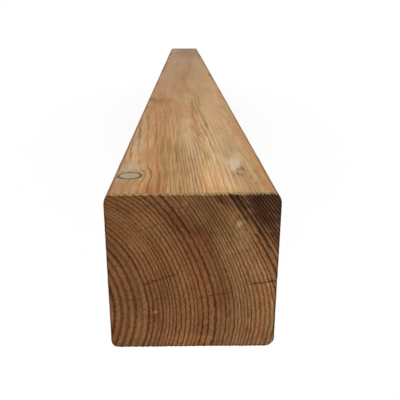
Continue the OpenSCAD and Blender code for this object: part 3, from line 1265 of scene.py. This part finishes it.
def light_world(scene, look):
    """Even light from all round, which shows white to the camera and in reflections."""
    world = bpy.data.worlds.new("studio")
    scene.world = world
    world.use_nodes = True
    world.node_tree.nodes.clear()
    graph = Graph(world.node_tree)
    path = graph.add("ShaderNodeLightPath").outputs
    seen = graph.maths("MAXIMUM", path["Is Camera Ray"],
                       graph.maths("MAXIMUM", path["Is Glossy Ray"], path["Is Transmission Ray"]))
    even = graph.add("ShaderNodeBackground", {"Color": (1, 1, 1, 1), "Strength": look.sky_level})
    white = graph.add("ShaderNodeBackground", {"Color": (1, 1, 1, 1), "Strength": 1.0})
    both = graph.add("ShaderNodeMixShader", {0: seen, 1: even.outputs[0], 2: white.outputs[0]})
    output = graph.add("ShaderNodeOutputWorld")
    graph.feed(output.inputs["Surface"], both.outputs[0])


def add_lamp(scene, look):
    """A broad lamp high over the foot of the post, a little to its left."""
    lamp = bpy.data.lights.new("soft_lamp", "SUN")
    lamp.energy = look.lamp_level
    lamp.angle = math.radians(LAMP_BREADTH)
    holder = bpy.data.objects.new("soft_lamp", lamp)
    holder.rotation_euler = Vector(LAMP_WAY).to_track_quat("-Z", "Y").to_euler()
    scene.collection.objects.link(holder)


def lay_floor(scene, look):
    """A pale floor that keeps the post's shadow and fades to white away from it."""
    mesh = bpy.data.meshes.new("floor")
    corners = [(x * FLOOR_HALF, y * FLOOR_HALF, 0) for x, y in ((-1, -1), (1, -1), (1, 1), (-1, 1))]
    mesh.from_pydata(corners, [], [(0, 1, 2, 3)])
    floor = bpy.data.objects.new("floor", mesh)
    scene.collection.objects.link(floor)
    material, graph, shader = new_material("pale_floor")
    shader.inputs["Base Color"].default_value = rgba(look.floor)
    shader.inputs["Roughness"].default_value = 0.9
    shader.inputs["Specular IOR Level"].default_value = 0.1
    where = graph.add("ShaderNodeTexCoord").outputs["Object"]
    aside = graph.vectors("LENGTH", graph.vectors("MULTIPLY", where, (1.0, FADE_ALONG, 0.0)))
    fade = graph.step(aside, FADE_FROM, FADE_TO, SHADOW_FLOOR, 1.0)
    seen = graph.add("ShaderNodeLightPath").outputs["Is Camera Ray"]
    white = graph.add("ShaderNodeEmission", {"Color": (1, 1, 1, 1), "Strength": 1.0})
    both = graph.add("ShaderNodeMixShader", {0: graph.maths("MULTIPLY", fade, seen),
                                             1: shader.outputs[0], 2: white.outputs[0]})
    output = next(n for n in graph.tree.nodes if n.type == "OUTPUT_MATERIAL")
    graph.feed(output.inputs["Surface"], both.outputs[0])
    mesh.materials.append(material)


def place_camera(scene, look):
    """Looks down on the foot's end and along the upper face."""
    camera = bpy.data.cameras.new("camera")
    camera.lens = look.lens
    camera.sensor_width = 36.0
    camera.shift_x = CAMERA_SHIFT
    holder = bpy.data.objects.new("camera", camera)
    holder.location = (Vector((0, LOW.y, 0)) + Vector(CAMERA_PLACE)) * MM
    down, turn, roll = (math.radians(angle) for angle in CAMERA_ANGLES)
    look_along = Vector((math.sin(turn) * math.cos(down), math.cos(turn) * math.cos(down),
                         -math.sin(down)))
    facing = look_along.to_track_quat("-Z", "Y") @ Quaternion((0, 0, 1), roll)
    holder.rotation_euler = facing.to_euler()
    scene.collection.objects.link(holder)
    scene.camera = holder


class FENCEPOST_PT_panel(bpy.types.Panel):
    """The post's sizes and colours, and what makes it"""

    bl_label = "Fence post"
    bl_idname = "FENCEPOST_PT_panel"
    bl_space_type = "VIEW_3D"
    bl_region_type = "UI"
    bl_category = "Fence post"

    def draw(self, context):
        for step, settings in ((FENCEPOST_OT_make_post, ("post_timber", "post_colours")),
                               (FENCEPOST_OT_set_stage, ("stage_look",))):
            box = self.layout.box()
            box.operator(step.bl_idname)
            for name in settings:
                group = getattr(context.scene, name)
                for prop in group.bl_rna.properties:
                    if prop.identifier not in ("name", "rna_type"):
                        box.prop(group, prop.identifier)


CLASSES = (PostTimber, PostColours, StageLook, FENCEPOST_OT_make_post, FENCEPOST_OT_set_stage,
           FENCEPOST_PT_panel)
GROUPS = {"post_timber": PostTimber, "post_colours": PostColours, "stage_look": StageLook}


def register():
    for each in CLASSES:
        bpy.utils.register_class(each)
    for name, group in GROUPS.items():
        setattr(bpy.types.Scene, name, bpy.props.PointerProperty(type=group))


def unregister():
    for name in GROUPS:
        delattr(bpy.types.Scene, name)
    for each in reversed(CLASSES):
        bpy.utils.unregister_class(each)


def main():
    register()
    bpy.ops.fencepost.set_stage()
    bpy.ops.fencepost.make_post()


if __name__ == "__main__":
    main()
